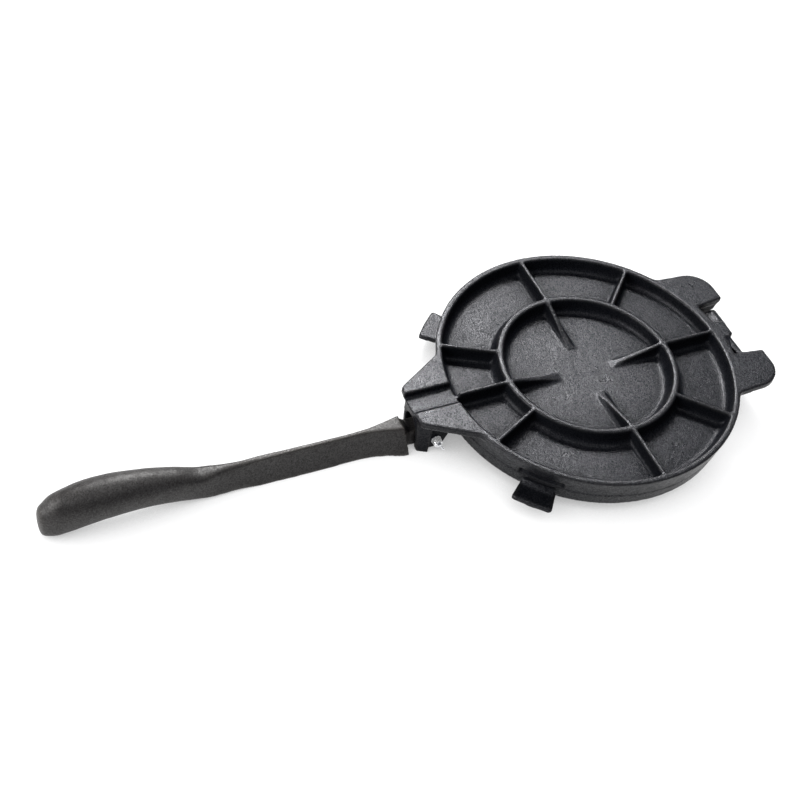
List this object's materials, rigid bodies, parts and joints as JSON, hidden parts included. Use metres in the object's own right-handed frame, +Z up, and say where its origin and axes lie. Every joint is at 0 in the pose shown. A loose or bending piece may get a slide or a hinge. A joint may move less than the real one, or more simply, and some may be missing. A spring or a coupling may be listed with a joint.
{
  "type": "tortilla press",
  "caption": "Cast-iron tortilla press resting upside down: ribbed round base over a hinged lid, with a long cast lever on a bolt and wing nut at the nose.",
  "frame": {"origin": "under the middle of the whole press, on the plane it rests on; the disc centre is 122.2 mm towards +X", "axes": "+X runs from the lever's tip to the hinge, +Y to the side away from the wing nut, +Z up, out of the ribbed face of the base"},
  "size_m": [0.499, 0.21, 0.035],
  "materials": {
    "base_iron": "black seasoned sand casting, fine grain, low sheen",
    "lid_iron": "black seasoned sand casting, fine grain, low sheen",
    "lever_iron": "black seasoned casting, smoother, soft sheen",
    "zinc_bolt": "bright zinc plate",
    "zinc_washer": "bright zinc plate",
    "zinc_nut": "bright zinc plate",
    "pin_steel": "plain drawn steel, oiled",
    "split_pin_steel": "bright zinc plate"
  },
  "bodies": {
    "lid": {"lid_plate": "lid_iron"},
    "base": {"base_plate": "base_iron", "pivot_bolt": "zinc_bolt", "pivot_washer": "zinc_washer", "hinge_pin": "pin_steel", "split_pins": "split_pin_steel"},
    "lever": {"handle": "lever_iron"},
    "wings": {"wing_nut": "zinc_nut"}
  },
  "joints": [
    {"name": "plate_hinge", "type": "hinge", "parent": "lid", "child": "base", "pos_m": [0.2357, 0, 0.02], "axis": [0, 1, 0], "range_deg": [0, 100]},
    {"name": "lever_pivot", "type": "hinge", "parent": "base", "child": "lever", "pos_m": [0.0062, 0, 0.008], "axis": [0, -1, 0], "range_deg": [0, 150]},
    {"name": "wing_nut_turn", "type": "hinge", "parent": "base", "child": "wings", "pos_m": [0.0062, -0.015, 0.008], "axis": [0, -1, 0], "continuous": true}
  ]
}
